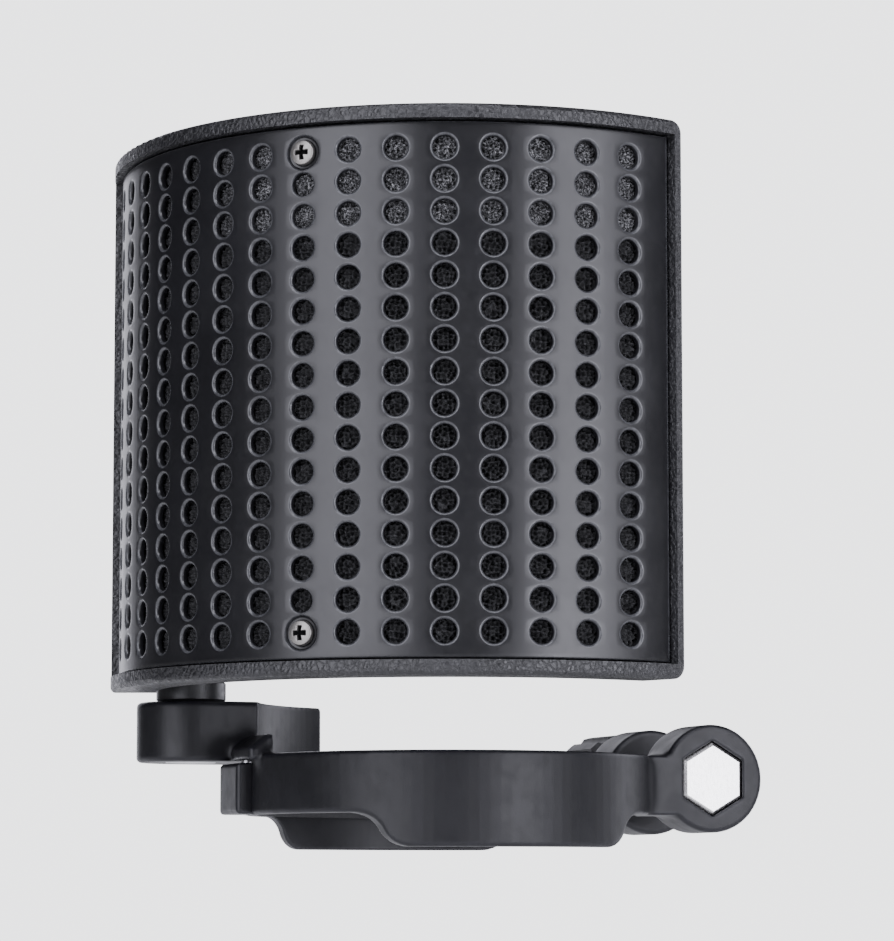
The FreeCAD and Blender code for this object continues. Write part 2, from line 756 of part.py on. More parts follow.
def hole_column(body, name, column, rows, radius):
    """Column of round holes cut outward through the sheet, this many columns from the middle."""
    sketch = sketch_on(body, name + "_sketch", "YZ_Plane")
    sketch.AttachmentOffset = Placement(ORIGIN, Rotation(Vector(0, 1, 0), column * size("column_angle")))
    for row in rows:
        circle(sketch, "0", "(shield_bottom + shield_top + row_pitch * (%d)) / 2" % row, radius)
    return pocketed(body, name, sketch, None, True)


def perforated_layer(name, inner, outer, screw_hole):
    body = curved_layer(name, inner, outer)
    columns = int(size("hole_columns"))
    edge = columns // 2
    last = int(size("hole_rows")) - 1
    inner_rows = range(2 - last, last, 2)
    pitch = size("column_angle")
    field = hole_column(body, name + "_column", -edge, inner_rows, "hole_radius")
    around(body, name + "_field", field, columns, pitch * (columns - 1))
    for side, start in (("left", -edge), ("right", 1)):
        ends = hole_column(body, "%s_%s_ends" % (name, side), start, (-last, last), "hole_radius")
        around(body, "%s_%s_end_rows" % (name, side), ends, edge, pitch * (edge - 1))
    hole_column(body, name + "_screw_holes", 0, (-last, last), screw_hole)
    return body


def plain_layer(name, inner, outer):
    body = curved_layer(name, inner, outer)
    last = int(size("hole_rows")) - 1
    hole_column(body, name + "_boss_holes", 0, (-last, last), "boss_hole")
    return body


def front_grille():
    body = perforated_layer("front_grille", "front_grille_inner", "front_grille_outer", "screw_radius + 0.1")
    last = int(size("hole_rows")) - 1
    sketch = sketch_on(body, "counterbore_sketch", "YZ_Plane")
    sketch.AttachmentOffset = Placement(Vector(0, 0, size("counterbore_floor")), ORIGIN_TURN)
    for row in (-last, last):
        circle(sketch, "0", "(shield_bottom + shield_top + row_pitch * (%d)) / 2" % row,
               "counterbore_radius")
    pocketed(body, "counterbores", sketch, None, True)


def grille_screw(name, end):
    """Pan-head cross-recess screw, drawn head up along its own Z."""
    head = "screw_head_height"
    body = turned(name, [("0", "-screw_length"), ("screw_radius * 0.6", "-screw_length"),
                         ("screw_radius", "1 - screw_length"), ("screw_radius", "0"),
                         ("screw_head_radius", "0"), ("screw_head_radius", head + " * 0.45"),
                         ("screw_head_radius * 0.88", head + " * 0.8"),
                         ("screw_head_radius * 0.55", head), ("0", head)])
    doc.recompute()
    recess = sketch_on(body, name + "_recess_sketch", "XY_Plane")
    recess.AttachmentOffset = Placement(Vector(0, 0, size(head)), ORIGIN_TURN)
    half = "screw_recess_width / 2"
    arm = "screw_recess_reach"
    quarter = [(arm, "-" + half), (arm, half), (half, half)]
    corners = []
    for turn in range(4):
        for x, y in quarter:
            corners.append((x, y))
        quarter = [("-(%s)" % y, x) for x, y in quarter]
    outline(recess, corners)
    pocketed(body, name + "_recess", recess, "screw_recess_depth", False)
    body.Placement = facing_front(screw_height(end), size("counterbore_floor"))
    return body


clamp_front_half()
clamp_rear_half()
liners()
clamp_fittings()
pivot_fittings()
shield_frame()
plain_layer("mesh_layer", "mesh_inner", "mesh_outer")
plain_layer("foam_layer", "foam_inner", "foam_outer")
perforated_layer("rear_grille", "rear_grille_inner", "rear_grille_outer", "boss_hole")
front_grille()
grille_screw("grille_screw_upper", 1)
grille_screw("grille_screw_lower", -1)
doc.recompute()

for item in doc.Objects:
    if "Invalid" in item.State or "Error" in item.State:
        raise RuntimeError(item.Name + " failed")
for name, piece in nodes.items():
    if piece.Shape.isNull() or not piece.Shape.isValid() or not piece.Shape.Solids:
        raise RuntimeError(name + " is not a sound solid")
    piece.Shape.exportStep(os.path.join("parts", name + ".step"))
    print(name, round(piece.Shape.Volume, 1))
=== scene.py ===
import math

import bmesh
import bpy
import numpy as np
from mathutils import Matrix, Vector


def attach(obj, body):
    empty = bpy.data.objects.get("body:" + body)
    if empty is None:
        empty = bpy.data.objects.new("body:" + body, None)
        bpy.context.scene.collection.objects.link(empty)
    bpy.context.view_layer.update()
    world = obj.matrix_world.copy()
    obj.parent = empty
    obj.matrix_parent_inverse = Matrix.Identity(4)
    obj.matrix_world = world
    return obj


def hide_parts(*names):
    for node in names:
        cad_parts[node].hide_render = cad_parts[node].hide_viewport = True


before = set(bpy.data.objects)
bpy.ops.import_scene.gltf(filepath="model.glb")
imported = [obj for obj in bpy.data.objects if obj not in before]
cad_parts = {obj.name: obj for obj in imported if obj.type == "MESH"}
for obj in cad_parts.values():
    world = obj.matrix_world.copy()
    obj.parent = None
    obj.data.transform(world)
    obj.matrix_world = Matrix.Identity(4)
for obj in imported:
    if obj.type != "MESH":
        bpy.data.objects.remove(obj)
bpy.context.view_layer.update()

# Looks of the curved pop filter. Shapes are worked out in millimetres and turned into metres when
# the points are made; finishes, lights and the camera are in metres unless a name ends in _MM.
# A bearing runs from -Y towards -X, seen from above, as in the CAD.

MM = 0.001

# ---------------------------------------------------------------- shield layout, in millimetres

COLUMNS, ROWS = 15, 16
SCREW_COLUMN = COLUMNS // 2
COLUMN_DEG, ROW_MM = 7.97, 4.78
HOLE_MM = 1.75
SHEET_HALF_DEG = 63.85
SHEET_LOW_MM, SHEET_HIGH_MM = 17.35, 96.75
MIDDLE_MM = (SHEET_LOW_MM + SHEET_HIGH_MM) / 2
FIELD_LOW_MM = MIDDLE_MM - ROWS * ROW_MM / 2
SCREW_RISE_MM = (ROWS - 1) * ROW_MM / 2
FRONT_MM, FRONT_BACK_MM = 52.3, 51.2
REAR_MM, REAR_BACK_MM = 48.4, 47.65
FOAM_FACE_MM, FOAM_BACK_MM = 51.05, 48.95
MESH_MM = 48.65
COUNTERBORE_MM, COUNTERBORE_DEPTH_MM = 2.80, 0.55


# ---------------------------------------------------------------- mesh helpers

def on_shield(bearing, reach, height):
    """Points in metres from bearings in radians and millimetre reaches and heights."""
    bearing, reach, height = np.broadcast_arrays(bearing, reach, height)
    return np.stack([-reach * np.sin(bearing), -reach * np.cos(bearing), height], -1) * MM


def mesh_object(name, points, faces, flat=False):
    """New object from points in metres, shaded smooth unless flat is asked for."""
    mesh = bpy.data.meshes.new(name)
    mesh.from_pydata([tuple(p) for p in points], [], faces)
    mesh.update()
    piece = bpy.data.objects.new(name, mesh)
    bpy.context.scene.collection.objects.link(piece)
    mesh.polygons.foreach_set("use_smooth", [not flat] * len(mesh.polygons))
    return piece


WELD, THIN_WELD = 2e-6, 1e-7


def weld(piece, distance=WELD):
    """Merges doubled points and turns every face outward."""
    work = bmesh.new()
    work.from_mesh(piece.data)
    bmesh.ops.remove_doubles(work, verts=work.verts, dist=distance)
    bmesh.ops.recalc_face_normals(work, faces=work.faces)
    work.to_mesh(piece.data)
    work.free()
    piece.data.update()


def point_value(piece, name, values):
    """Stores one number per point, for a finish to read."""
    layer = piece.data.attributes.new(name, "FLOAT", "POINT")
    layer.data.foreach_set("value", np.asarray(values, np.float32))


def coordinates(mesh):
    co = np.empty(len(mesh.vertices) * 3)
    mesh.vertices.foreach_get("co", co)
    return co.reshape(-1, 3)


def smoothstep(low, high, x):
    t = np.clip((x - low) / (high - low), 0, 1)
    return t * t * (3 - 2 * t)


def bands(rings, count):
    """Quads between successive closed rings of count points each."""
    faces = []
    for ring in range(rings - 1):
        a, b = ring * count, (ring + 1) * count
        for i in range(count):
            j = (i + 1) % count
            faces.append((a + i, a + j, b + j, b + i))
    return faces


def dress(piece, body, material, node):
    """Gives a new piece its material in a slot and its body, and hides the CAD node that it stands
    for.
    """
    piece.data.materials.clear()
    piece.data.materials.append(material)
    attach(piece, body)
    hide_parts(node)


# ---------------------------------------------------------------- perforated sheets

SIDE_STEPS = 10
SIDE = np.linspace(-1, 1, SIDE_STEPS + 1)[:-1]
BOW = (1 - SIDE * SIDE) ** 2
SCREW_ROOM_MM = 0.44
LIP_MM, LIP_BESIDE_SCREW_MM = 2.2, 1.98
LIP_DEPTH_MM = 0.62
LIP_TURNS = (18, 36, 52, 66, 78, 90)
LIP_WORN_STEPS = range(1, 5)
RIM_SOFT_MM = 0.22
RIM_WEAR = 0.8


def bulge(column, line):
    """How far a row line bows away from a screw in the screws' column."""
    if column != SCREW_COLUMN:
        return 0.0
    return {0: -SCREW_ROOM_MM, 1: SCREW_ROOM_MM,
            ROWS - 1: -SCREW_ROOM_MM, ROWS: SCREW_ROOM_MM}.get(line, 0.0)


def cell_border(column, row):
    """Border of one cell about its hole, starting at the lower right corner."""
    half_arc = math.radians(COLUMN_DEG) * FRONT_MM / 2
    half = ROW_MM / 2
    one = np.ones_like(SIDE)
    right = np.stack([half_arc * one, half * SIDE], -1)
    top = np.stack([-half_arc * SIDE, half + bulge(column, row + 1) * BOW], -1)
    left = np.stack([-half_arc * one, -half * SIDE], -1)
    bottom = np.stack([half_arc * SIDE, -half + bulge(column, row) * BOW], -1)
    return np.concatenate([right, top, left, bottom])


def hole_kind(column, row, screw_kind):
    """Holes at the column's ends take the screws, and the next ones have less room for a lip."""
    if column == SCREW_COLUMN and row in (0, ROWS - 1):
        return screw_kind
    if column == SCREW_COLUMN and row in (1, ROWS - 2):
        return "beside"
    return "plain"


def hole_section(kind, face, back):
    """(radius, reach) pairs from the face, over the lip and through to the back."""
    if kind == "sunk":
        floor = face - COUNTERBORE_DEPTH_MM
        return [(COUNTERBORE_MM, face), (2.74, face - 0.02), (2.67, face - 0.08),
                (2.61, face - 0.18), (2.55, face - 0.32), (2.48, face - 0.44),
                (2.36, face - 0.52), (2.2, floor), (1.3, floor), (1.3, back)]
    if kind == "boss":
        return [(2.80, face), (2.78, face - 0.02), (2.76, face - 0.08), (2.75, back + 0.06),
                (2.77, back + 0.02), (2.8, back)]
    lip = LIP_BESIDE_SCREW_MM if kind == "beside" else LIP_MM
    roll = lip - HOLE_MM
    deep = min(LIP_DEPTH_MM, (face - back) * 0.6)
    section = [(lip + 0.03, face), (lip - roll * 0.06, face - deep * 0.015)]
    for turn in LIP_TURNS:
        angle = math.radians(turn)
        section.append((lip - roll * math.sin(angle), face - deep * (1 - math.cos(angle))))
    return section + [(HOLE_MM, back + 0.12), (HOLE_MM + 0.04, back + 0.03), (HOLE_MM + 0.13, back)]


def field_outline():
    """Outline of all cells, from the lower right of the first column and back to it.

    Each row gives a bearing, a height and the way, sideways and up, to the sheet's own edge.
    """
    half = math.radians(COLUMN_DEG) / 2
    edge = COLUMNS * half
    low, high = FIELD_LOW_MM, FIELD_LOW_MM + ROWS * ROW_MM
    columns, rows = list(range(COLUMNS)), list(range(ROWS))

    def along(order, way, line, height):
        return [((column - SCREW_COLUMN) * 2 * half + way * half * step,
                 height + bulge(column, line) * lift, 0, -way)
                for column in order for step, lift in zip(SIDE, BOW)]

    def upright(order, way):
        return [(way * edge, low + (row + 0.5 + way * step / 2) * ROW_MM, way, 0)
                for row in order for step in SIDE]

    loop = along(columns, 1, 0, low) + upright(rows, 1)
    loop += along(columns[::-1], -1, ROWS, high) + upright(rows[::-1], -1)
    loop = np.array(loop, float)
    across, up = SIDE_STEPS * COLUMNS, SIDE_STEPS * ROWS
    for corner, way in ((0, (-1, -1)), (across, (1, -1)), (across + up, (1, 1)),
                        (2 * across + up, (-1, 1))):
        loop[corner, 2:] = way
    return loop


def perforated_sheet(name, face, back, screw_kind):
    """Curved sheet with a rounded lip at every hole, and a softened outer edge."""
    points, faces, wear = [], [], []
    count = 4 * SIDE_STEPS
    depth = face - back

    def add_rings(rings, values):
        base = len(points)
        for ring in rings:
            points.extend(ring)
        wear.extend(values)
        faces.extend(tuple(base + i for i in f) for f in bands(len(rings), len(rings[0])))

    def place(offsets, bearing, height, reach):
        return on_shield(bearing + offsets[:, 0] / FRONT_MM, reach, height + offsets[:, 1])

    for column in range(COLUMNS):
        bearing = math.radians((column - SCREW_COLUMN) * COLUMN_DEG)
        for row in range(ROWS):
            height = FIELD_LOW_MM + (row + 0.5) * ROW_MM
            border = cell_border(column, row)
            section = hole_section(hole_kind(column, row, screw_kind), face, back)
            angle = np.arctan2(border[:, 1], border[:, 0])
            around = np.stack([np.cos(angle), np.sin(angle)], -1)
            first = around * section[0][0]
            rings = [place(border, bearing, height, face),
                     place((border + first) / 2, bearing, height, face)]
            values = [0.0] * (2 * count)
            for step, (radius, reach) in enumerate(section):
                rings.append(place(around * radius, bearing, height, reach))
                values += [1.0 if step in LIP_WORN_STEPS else 0.0] * count
            rings.append(place(border, bearing, height, back))
            values += [0.0] * count
            add_rings(rings, values)

    loop = field_outline()
    side = math.radians(SHEET_HALF_DEG - COLUMNS * COLUMN_DEG / 2)
    rim = FIELD_LOW_MM - SHEET_LOW_MM
    section = [(0.0, 0.0), (0.55, 0.0)]
    for turn in (0, 30, 60, 90):
        angle = math.radians(turn)
        section.append((1.0 - RIM_SOFT_MM / rim * (1 - math.sin(angle)),
                        RIM_SOFT_MM * (1 - math.cos(angle))))
    section += [(1.0, depth), (0.0, depth)]
    edge = np.where(loop[:, 3] < 0, SHEET_LOW_MM, SHEET_HIGH_MM)
    rings, values = [], []
    for share, drop in section:
        bearing = loop[:, 0] + loop[:, 2] * side * share
        height = loop[:, 1] + np.where(loop[:, 3] == 0, 0, (edge - loop[:, 1]) * share)
        rings.append(on_shield(bearing, face - drop, height))
        values += [RIM_WEAR if 0 < drop < depth else 0.0] * len(loop)
    add_rings(rings, values)

    piece = mesh_object(name, points, faces)
    point_value(piece, "wear", wear)
    weld(piece)
    return piece


# ---------------------------------------------------------------- foam and net behind the grille

FOAM_STEP_MM = 0.22
FOAM_CELL_MM, FOAM_CELL_SEED = 0.78, 11
FOAM_FINE_MM, FOAM_FINE_SEED = 0.5, 12
FOAM_BORDER_MM = 0.3
FOAM_SCREW_ROOM_MM = 3.0
FOAM_FLOOR_MM = 0.05
# As in the photo, the foam looks lit from behind above this height, fading between these bearings.
FOAM_LIT_LOW_MM, FOAM_LIT_BLUR_MM = 81.0, 1.5
FOAM_LIT_FROM_DEG, FOAM_LIT_FULL_DEG = 21, 10
NET_STEP_MM = 0.40
NET_PITCH_MM, NET_RISE_MM, NET_HALF_MM = 1.28, 0.05, 0.05


def sheet_grid(reach, step):
    """Steps each way and the places, along the arc and up, of a grid over a whole sheet."""
    arc = 2 * math.radians(SHEET_HALF_DEG) * reach
    tall = SHEET_HIGH_MM - SHEET_LOW_MM
    nu, nv = int(arc / step), int(tall / step)
    u, v = np.meshgrid(np.linspace(0, arc, nu), np.linspace(0, tall, nv), indexing="ij")
    return nu, nv, u, v


def cell_field(u, v, pitch, seed):
    """Distances to the nearest and second nearest of scattered cell centres."""
    rng = np.random.default_rng(seed)
    nu, nv = int(u.max() / pitch) + 4, int(v.max() / pitch) + 4
    scatter = rng.uniform(-0.42, 0.42, (nu + 2, nv + 2, 2))
    tone = rng.uniform(0, 1, (nu + 2, nv + 2))
    iu, iv = (u / pitch).astype(int) + 1, (v / pitch).astype(int) + 1
    nearest = np.full(u.shape, 9.0)
    second = np.full(u.shape, 9.0)
    shade = np.zeros(u.shape)
    for du in (-1, 0, 1):
        for dv in (-1, 0, 1):
            a, b = np.clip(iu + du, 0, nu + 1), np.clip(iv + dv, 0, nv + 1)
            cu = (a - 0.5 + scatter[a, b, 0]) * pitch
            cv = (b - 0.5 + scatter[a, b, 1]) * pitch
            away = np.hypot(u - cu, v - cv) / pitch
            closer = away < nearest
            second = np.where(closer, nearest, np.minimum(second, away))
            shade = np.where(closer, tone[a, b], shade)
            nearest = np.where(closer, away, nearest)
    return nearest, second, shade


def foam_sheet():
    """Open-cell foam: its face is a web of raised struts round sunken cells."""
    nu, nv, u, v = sheet_grid(FOAM_FACE_MM, FOAM_STEP_MM)
    nearest, second, shade = cell_field(u, v, FOAM_CELL_MM, FOAM_CELL_SEED)
    edge = second - nearest
    pit = smoothstep(0.10, 0.45, edge) * (0.45 + 0.6 * shade)
    nearest, second, fine_shade = cell_field(u, v, FOAM_FINE_MM, FOAM_FINE_SEED)
    pit += 0.25 * smoothstep(0.12, 0.4, second - nearest) * fine_shade
    bearing = u / FOAM_FACE_MM - math.radians(SHEET_HALF_DEG)
    height = SHEET_LOW_MM + v
    for rise in (-SCREW_RISE_MM, SCREW_RISE_MM):
        away = np.hypot(bearing * FOAM_FACE_MM, height - MIDDLE_MM - rise)
        deepest = FOAM_FACE_MM - FOAM_BACK_MM - FOAM_FLOOR_MM
        pit = np.where(away < FOAM_SCREW_ROOM_MM, deepest, pit)
    border = np.minimum.reduce([u, u.max() - u, v, v.max() - v])
    pit = np.where(border < FOAM_BORDER_MM, FOAM_BORDER_MM, pit)
    face = on_shield(bearing, FOAM_FACE_MM - pit, height).reshape(-1, 3)
    back = on_shield(bearing[:, [0, -1]], FOAM_BACK_MM, height[:, [0, -1]]).reshape(-1, 3)
    faces = []
    for i in range(nu - 1):
        a, b = i * nv, (i + 1) * nv
        faces += [(a + j, a + j + 1, b + j + 1, b + j) for j in range(nv - 1)]
        c, d = len(face) + 2 * i, len(face) + 2 * i + 2
        faces.append((c, d, d + 1, c + 1))
        faces.append((a, b, d, c))
        faces.append((a + nv - 1, c + 1, d + 1, b + nv - 1))
    last = len(face) + 2 * (nu - 1)
    faces.append(tuple(range(0, nv)) + (len(face) + 1, len(face)))
    faces.append(tuple(range((nu - 1) * nv, nu * nv)) + (last + 1, last))
    piece = mesh_object("foam_pad", np.concatenate([face, back]), faces)
    strut = 1 - smoothstep(0.05, 0.32, edge)
    # Painted backlight: the foam's colour is made lighter above a height and beside a bearing, as
    # if lit from behind, with uneven edges.
    uneven = 2 * FOAM_LIT_BLUR_MM * (shade - 0.5)
    above = smoothstep(FOAM_LIT_LOW_MM - FOAM_LIT_BLUR_MM, FOAM_LIT_LOW_MM + FOAM_LIT_BLUR_MM,
                       height + uneven)
    aside = smoothstep(math.radians(FOAM_LIT_FROM_DEG), math.radians(FOAM_LIT_FULL_DEG), bearing)
    lit = above * aside * (0.35 + 0.65 * fine_shade)
    for label, values in (("strut", strut), ("painted_backlight", lit)):
        point_value(piece, label, np.concatenate([values.ravel(), np.zeros(len(back))]))
    weld(piece, THIN_WELD)
    return piece


def woven_sheet():
    """Fine net stretched behind the foam, with the rise and fall of its threads."""
    nu, nv, u, v = sheet_grid(MESH_MM, NET_STEP_MM)
    turn = 2 * np.pi / NET_PITCH_MM
    rise = NET_RISE_MM * np.sin(turn * u) * np.sin(turn * v)
    bearing = u / MESH_MM - math.radians(SHEET_HALF_DEG)
    height = SHEET_LOW_MM + v
    sides = [on_shield(bearing, MESH_MM + rise + lift, height).reshape(-1, 3)
             for lift in (NET_HALF_MM, -NET_HALF_MM)]
    faces = []
    total = nu * nv
    for i in range(nu - 1):
        a, b = i * nv, (i + 1) * nv
        for j in range(nv - 1):
            faces.append((a + j, a + j + 1, b + j + 1, b + j))
            faces.append((total + b + j, total + b + j + 1, total + a + j + 1, total + a + j))
    rim = [i * nv for i in range(nu)]
    rim += [(nu - 1) * nv + j for j in range(1, nv)]
    rim += [i * nv + nv - 1 for i in reversed(range(nu - 1))]
    rim += list(reversed(range(1, nv - 1)))
    for a, b in zip(rim, rim[1:] + rim[:1]):
        faces.append((a, b, total + b, total + a))
    piece = mesh_object("net_sheet", np.concatenate(sides), faces)
    weld(piece, THIN_WELD)
    return piece


# ---------------------------------------------------------------- screws

SCREW_MM = 1.89
DOME_TOP_MM, DOME_FALL_MM = 1.22, 0.34
RECESS_HALF_MM, RECESS_FLARE, RECESS_REACH_MM, RECESS_DEPTH_MM = 0.27, 0.10, 1.08, 0.9
HEAD_FLAT_MM, HEAD_STEPS = 1.35, 34
HEAD_SHOULDER = (0.76, 0.83, 0.89, 0.93)
HEAD_SIDE_MM = ((SCREW_MM - 0.07, 0.80), (SCREW_MM - 0.02, 0.68), (SCREW_MM, 0.5),
                (SCREW_MM, 0.1), (SCREW_MM - 0.04, 0.02))
SHANK_MM = ((1.2, 0.0), (1.2, -4.2), (0.7, -5.2))


def grille_screw(name, height):
    """Domed cross-recess head on its shank, facing -Y."""
    around = 64
    angle = np.linspace(0, 2 * np.pi, around, endpoint=False)
    rings, recess = [], []

    def head(radius):
        dome = DOME_TOP_MM - DOME_FALL_MM * (radius / SCREW_MM) ** 2
        x, y = radius * np.cos(angle), radius * np.sin(angle)
        cross = [np.maximum(np.abs(b) - RECESS_HALF_MM - RECESS_FLARE * np.abs(a),
                            np.abs(a) - RECESS_REACH_MM) for a, b in ((x, y), (y, x))]
        inside = smoothstep(0.05, -0.10, np.minimum(*cross))
        sink = RECESS_DEPTH_MM * inside * (1 - 0.3 * smoothstep(0.4, 1.1, radius))
        recess.append(np.clip(sink / 0.5, 0, 1))
        return np.stack([x, y, dome - sink], -1)

    for radius in np.linspace(0.03, HEAD_FLAT_MM, HEAD_STEPS):
        rings.append(head(radius))
    for share in HEAD_SHOULDER:
        rings.append(head(share * SCREW_MM))
    below = HEAD_SIDE_MM + SHANK_MM
    for radius, level in below:
        rings.append(np.stack([radius * np.cos(angle), radius * np.sin(angle),
                               np.full(around, level)], -1))
    count = len(rings)
    turned = np.concatenate(rings)
    faces = bands(count, around)
    faces.append(tuple(range(around)))
    faces.append(tuple((count - 1) * around + i for i in range(around)))
    seat = FRONT_MM - COUNTERBORE_DEPTH_MM
    points = np.stack([turned[:, 0], -seat - turned[:, 2], height + turned[:, 1]], -1) * MM
    piece = mesh_object(name, points, faces)
    recess += [np.zeros(around)] * len(below)
    # Each point's recess depth, which the screw finish turns into painted shade in the cross
    # recess.
    point_value(piece, "recess", np.concatenate(recess))
    weld(piece)
    return piece


# ---------------------------------------------------------------- softened clamp halves

SMOOTH_ROUNDS, SMOOTH_IN, SMOOTH_OUT = 2, 0.45, 0.46
BORE_KEPT_MM, BORE_FREE_MM = 30.35, 30.9
FILL_ROUNDS, FILL_STEP, SLIDE_STEP, NORMALS_EVERY = 70, 0.9, 0.25, 10
WEAR_ROUNDS, WEAR_FROM, WEAR_FULL = 3, 0.008, 0.05


def near_point(co, point, inner, outer):
    """1 within the inner distance of a point, falling to 0 at the outer one."""
    away = np.linalg.norm(co - np.array(point) * MM, axis=1) / MM
    return 1 - smoothstep(inner, outer, away)


def softened(name, node, voxel, hollows):
    """Copy of a CAD part whose inside corners near the given points are filled to smooth blends."""
    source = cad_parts[node]
    piece = bpy.data.objects.new(name, source.data.copy())
    bpy.context.scene.collection.objects.link(piece)
    remesh = piece.modifiers.new("remesh", "REMESH")
    remesh.mode = "VOXEL"
    remesh.voxel_size = voxel * MM
    remesh.use_smooth_shade = True
    graph = bpy.context.evaluated_depsgraph_get()
    solid = bpy.data.meshes.new_from_object(piece.evaluated_get(graph))
    piece.modifiers.clear()
    piece.data = solid
    co = coordinates(solid)
    edges = np.empty(len(solid.edges) * 2, np.int64)
    solid.edges.foreach_get("vertices", edges)
    edges = edges.reshape(-1, 2)
    total = len(co)
    degree = np.bincount(edges.ravel(), minlength=total)[:, None]

    def average(values):
        out = np.empty_like(values)
        for axis in range(values.shape[1]):
            column = values[:, axis]
            out[:, axis] = (np.bincount(edges[:, 0], column[edges[:, 1]], total)
                            + np.bincount(edges[:, 1], column[edges[:, 0]], total))
        return out / degree

    def normals():
        out = np.empty(total * 3)
        solid.vertices.foreach_get("normal", out)
        return out.reshape(-1, 3)

    def move_to(places):
        solid.vertices.foreach_set("co", places.ravel())
        solid.update()

    normal = normals()
    for _ in range(SMOOTH_ROUNDS):
        co += SMOOTH_IN * (average(co) - co)
        co -= SMOOTH_OUT * (average(co) - co)
    mask = np.zeros(total)
    for point, inner, outer in hollows:
        mask = np.maximum(mask, near_point(co, point, inner, outer))
    bore = np.hypot(co[:, 0], co[:, 1]) / MM
    mask *= smoothstep(BORE_KEPT_MM, BORE_FREE_MM, bore)
    for done in range(1, FILL_ROUNDS + 1):
        pull = average(co) - co
        out = (pull * normal).sum(1, keepdims=True)
        move = FILL_STEP * np.maximum(out, 0) * normal + SLIDE_STEP * (pull - out * normal)
        co += mask[:, None] * move
        if done % NORMALS_EVERY == 0:
            move_to(co)
            normal = normals()
    move_to(co)
    curve = ((co - average(average(co))) * normal).sum(1) / MM
    for _ in range(WEAR_ROUNDS):
        curve = average(curve[:, None])[:, 0]
    point_value(piece, "wear", smoothstep(WEAR_FROM, WEAR_FULL, curve))
    solid.polygons.foreach_set("use_smooth", [True] * len(solid.polygons))
    return piece


# ---------------------------------------------------------------- materials

class Finish:
    """A procedural finish: grain, mottling, wear and roughness on the part's own coordinates."""

    def __init__(self, name, colour, roughness, metallic=0.0):
        self.material = bpy.data.materials.new(name)
        self.material.use_nodes = True
        self.tree = self.material.node_tree
        self.shader = next(n for n in self.tree.nodes if n.type == "BSDF_PRINCIPLED")
        self.shader.inputs["Metallic"].default_value = metallic
        self.place = self.tree.nodes.new("ShaderNodeTexCoord").outputs["Object"]
        base = self.tree.nodes.new("ShaderNodeRGB")
        base.outputs[0].default_value = (*colour, 1)
        self.colour = base.outputs[0]
        self.rough = roughness
        self.height = None
        self.rough_link = None

    def link(self, a, b):
        self.tree.links.new(a, b)

    def scaled(self, stretch):
        if stretch is None:
            return self.place
        node = self.tree.nodes.new("ShaderNodeMapping")
        node.inputs["Scale"].default_value = stretch
        self.link(self.place, node.inputs["Vector"])
        return node.outputs["Vector"]

    def noise(self, size, detail=3.0, rough=0.55, stretch=None):
        node = self.tree.nodes.new("ShaderNodeTexNoise")
        node.inputs["Scale"].default_value = 1.0 / size
        node.inputs["Detail"].default_value = detail
        node.inputs["Roughness"].default_value = rough
        self.link(self.scaled(stretch), node.inputs["Vector"])
        return node.outputs[0]

    def cells(self, size, feature="F1", randomness=1.0, stretch=None):
        node = self.tree.nodes.new("ShaderNodeTexVoronoi")
        node.feature = feature
        node.inputs["Scale"].default_value = 1.0 / size
        node.inputs["Randomness"].default_value = randomness
        self.link(self.scaled(stretch), node.inputs["Vector"])
        return node.outputs["Distance"]

    def attribute(self, name):
        node = self.tree.nodes.new("ShaderNodeAttribute")
        node.attribute_name = name
        return node.outputs["Fac"]

    def span(self, value, low, high, to_low=0.0, to_high=1.0):
        """Eases the part of a value between low and high into the new range."""
        node = self.tree.nodes.new("ShaderNodeMapRange")
        node.interpolation_type = "SMOOTHSTEP"
        numbers = {"From Min": low, "From Max": high, "To Min": to_low, "To Max": to_high}
        for key, number in numbers.items():
            node.inputs[key].default_value = number
        self.link(value, node.inputs["Value"])
        return node.outputs["Result"]

    def math(self, kind, a, b):
        node = self.tree.nodes.new("ShaderNodeMath")
        node.operation = kind
        for socket, value in zip(node.inputs, (a, b)):
            if isinstance(value, (int, float)):
                socket.default_value = value
            else:
                self.link(value, socket)
        return node.outputs[0]

    def tint(self, mask, colour):
        """Blends another colour in where the mask is high."""
        node = self.tree.nodes.new("ShaderNodeMix")
        node.data_type = "RGBA"
        self.link(mask, node.inputs["Factor"])
        self.link(self.colour, node.inputs["A"])
        node.inputs["B"].default_value = (*colour, 1)
        self.colour = node.outputs["Result"]
        return self

    def vary(self, mask, amount):
        """Raises the roughness by this much where the mask is high."""
        part = self.math("MULTIPLY", mask, amount)
        base = self.rough if self.rough_link is None else self.rough_link
        self.rough_link = self.math("ADD", part, base)
        return self

    def raise_by(self, height, depth, strength=1.0):
        """Adds relief of this depth in metres."""
        node = self.tree.nodes.new("ShaderNodeBump")
        node.inputs["Strength"].default_value = strength
        node.inputs["Distance"].default_value = depth
        self.link(height, node.inputs["Height"])
        if self.height is not None:
            self.link(self.height, node.inputs["Normal"])
        self.height = node.outputs["Normal"]
        return self

    def set(self, **values):
        """Sets the shader's own sockets; an underscore stands for a space."""
        for key, value in values.items():
            self.shader.inputs[key.replace("_", " ")].default_value = value
        return self

    def done(self):
        """Joins the finish to the shader and gives the material."""
        self.link(self.colour, self.shader.inputs["Base Color"])
        if self.rough_link is None:
            self.shader.inputs["Roughness"].default_value = self.rough
        else:
            self.link(self.rough_link, self.shader.inputs["Roughness"])
        if self.height is not None:
            self.link(self.height, self.shader.inputs["Normal"])
        return self.material


